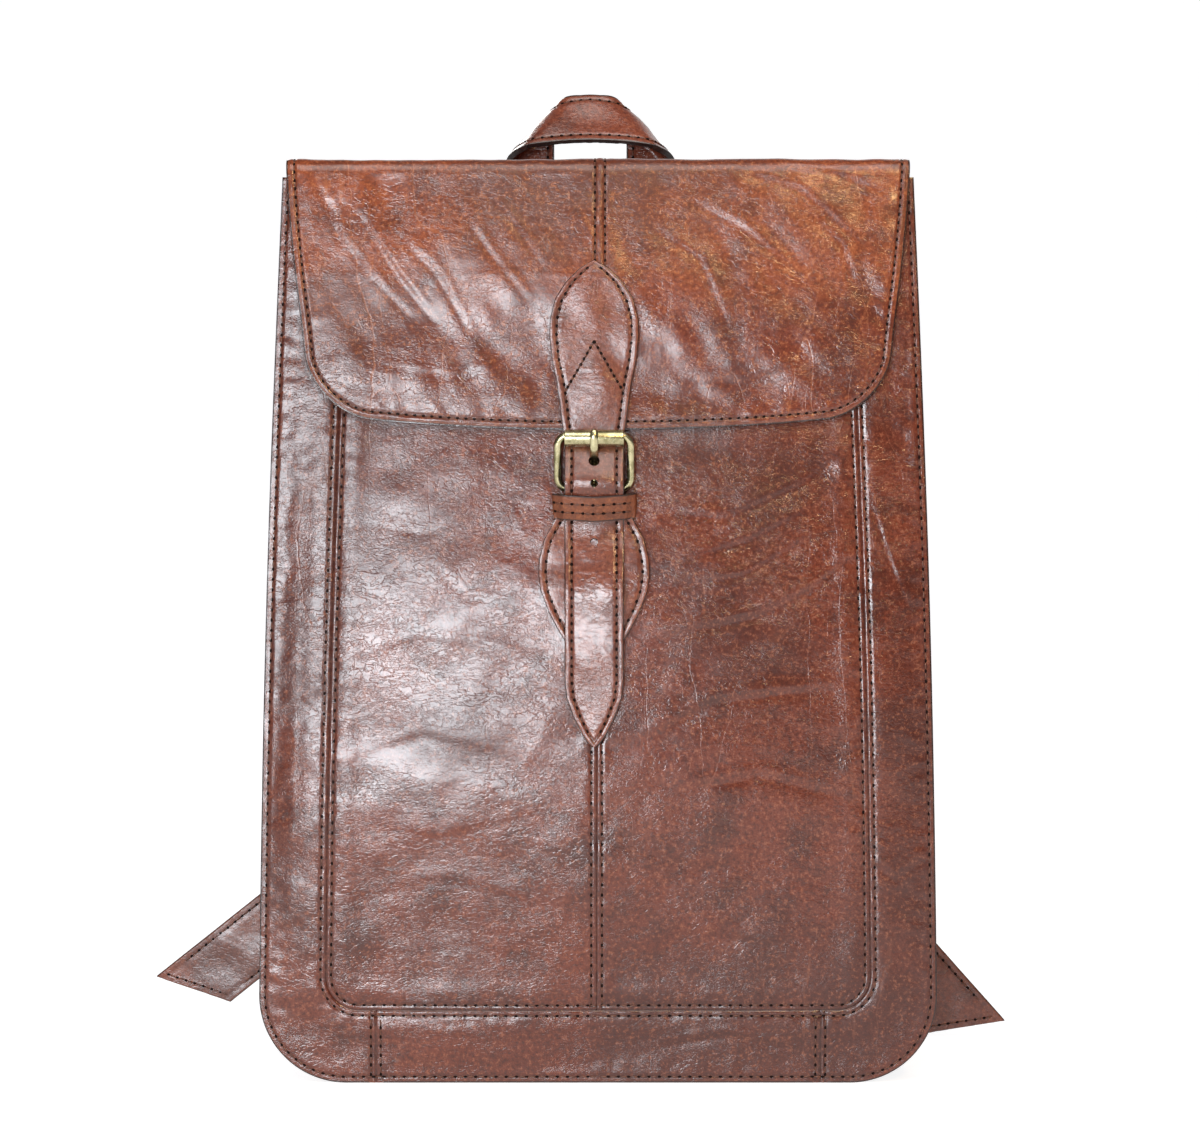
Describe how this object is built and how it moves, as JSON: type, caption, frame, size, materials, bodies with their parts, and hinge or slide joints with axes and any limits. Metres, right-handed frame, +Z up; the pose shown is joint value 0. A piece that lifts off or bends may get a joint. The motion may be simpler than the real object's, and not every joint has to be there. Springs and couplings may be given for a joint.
{
  "type": "leather backpack",
  "caption": "Flap-top leather backpack with a roller-buckle closure strap, a folded carrying handle and adjustable shoulder straps on the back.",
  "frame": {"origin": "middle of the base, on the floor under the middle of the bag's depth", "axes": "+Z up, -Y out of the front where the flap closes, +X to the right seen from the front"},
  "size_m": [0.3838, 0.1606, 0.425],
  "materials": {
    "body_leather": "waxed, mottled brown with lighter creases",
    "strap_leather": "waxed brown with dark painted edges",
    "lining_cloth": "plain woven cotton and waxed thread",
    "antique_brass": "antique brass, worn bright on its edges"
  },
  "bodies": {
    "bag": {"front_centre_left": "body_leather", "front_centre_right": "body_leather", "front_border_left": "body_leather", "front_border_right": "body_leather", "front_border_base": "body_leather", "back_panel": "body_leather", "gusset_left": "body_leather", "gusset_right": "body_leather", "base_gusset": "body_leather", "lining": "lining_cloth", "chape_leaf": "strap_leather", "closure_keeper": "strap_leather", "handle_roots": "strap_leather", "back_yoke": "strap_leather", "strap_root_left": "strap_leather", "strap_root_right": "strap_leather", "strap_tab_left": "strap_leather", "strap_tab_right": "strap_leather"},
    "flap_top": {"flap_top_left": "body_leather", "flap_top_right": "body_leather", "flap_top_lining": "lining_cloth"},
    "flap_front": {"flap_front_left": "body_leather", "flap_front_right": "body_leather", "flap_front_lining": "lining_cloth", "closure_strap": "strap_leather"},
    "handle": {"handle": "strap_leather"},
    "closure_buckle": {"closure_buckle_frame": "antique_brass"},
    "closure_prong": {"closure_prong": "antique_brass"},
    "closure_roller": {"closure_roller": "antique_brass"},
    "strap_left": {"shoulder_strap_left": "strap_leather", "strap_chape_left": "strap_leather", "strap_keeper_left": "strap_leather", "strap_buckle_left": "antique_brass", "strap_prong_left": "antique_brass"},
    "strap_roller_left": {"strap_roller_left": "antique_brass"},
    "strap_right": {"shoulder_strap_right": "strap_leather", "strap_chape_right": "strap_leather", "strap_keeper_right": "strap_leather", "strap_buckle_right": "antique_brass", "strap_prong_right": "antique_brass"},
    "strap_roller_right": {"strap_roller_right": "antique_brass"}
  },
  "joints": [
    {"name": "flap_open", "type": "hinge", "parent": "bag", "child": "flap_top", "pos_m": [0, 0.05, 0.3777], "axis": [-1, 0, 0], "range_deg": [0, 140]},
    {"name": "flap_fold", "type": "hinge", "parent": "flap_top", "child": "flap_front", "pos_m": [0, -0.0443, 0.381], "axis": [-1, 0, 0], "range_deg": [0, 80], "deforming": ["closure_strap"]},
    {"name": "handle_tilt", "type": "hinge", "parent": "bag", "child": "handle", "pos_m": [0, 0.0529, 0.353], "axis": [-1, 0, 0], "range_deg": [0, 91]},
    {"name": "closure_frame_tilt", "type": "hinge", "parent": "bag", "child": "closure_buckle", "pos_m": [-0.0016, -0.056, 0.24492], "axis": [1, 0, 0], "range_deg": [0, 40]},
    {"name": "closure_prong_turn", "type": "hinge", "parent": "closure_buckle", "child": "closure_prong", "pos_m": [-0.0016, -0.056, 0.24492], "axis": [1, 0, 0], "range_deg": [0, 50]},
    {"name": "closure_roller_spin", "type": "hinge", "parent": "closure_buckle", "child": "closure_roller", "pos_m": [-0.0016, -0.0606, 0.265], "axis": [1, 0, 0], "continuous": true},
    {"name": "strap_swing_left", "type": "hinge", "parent": "bag", "child": "strap_left", "pos_m": [-0.034, 0.06, 0.288], "axis": [0.369, 0, 0.9294], "range_deg": [-8, 8]},
    {"name": "strap_roller_spin_left", "type": "hinge", "parent": "strap_left", "child": "strap_roller_left", "pos_m": [-0.08982, 0.0698, 0.09598], "axis": [-0.6225, 0, 0.7826], "continuous": true},
    {"name": "strap_swing_right", "type": "hinge", "parent": "bag", "child": "strap_right", "pos_m": [0.034, 0.06, 0.288], "axis": [-0.3433, 0, 0.9392], "range_deg": [-8, 8]},
    {"name": "strap_roller_spin_right", "type": "hinge", "parent": "strap_right", "child": "strap_roller_right", "pos_m": [0.09197, 0.0698, 0.08865], "axis": [-0.7478, 0, -0.6639], "continuous": true}
  ],
  "couplings": [
    {"joint": "handle_tilt", "follows": "flap_open", "ratio": 0.65}
  ]
}
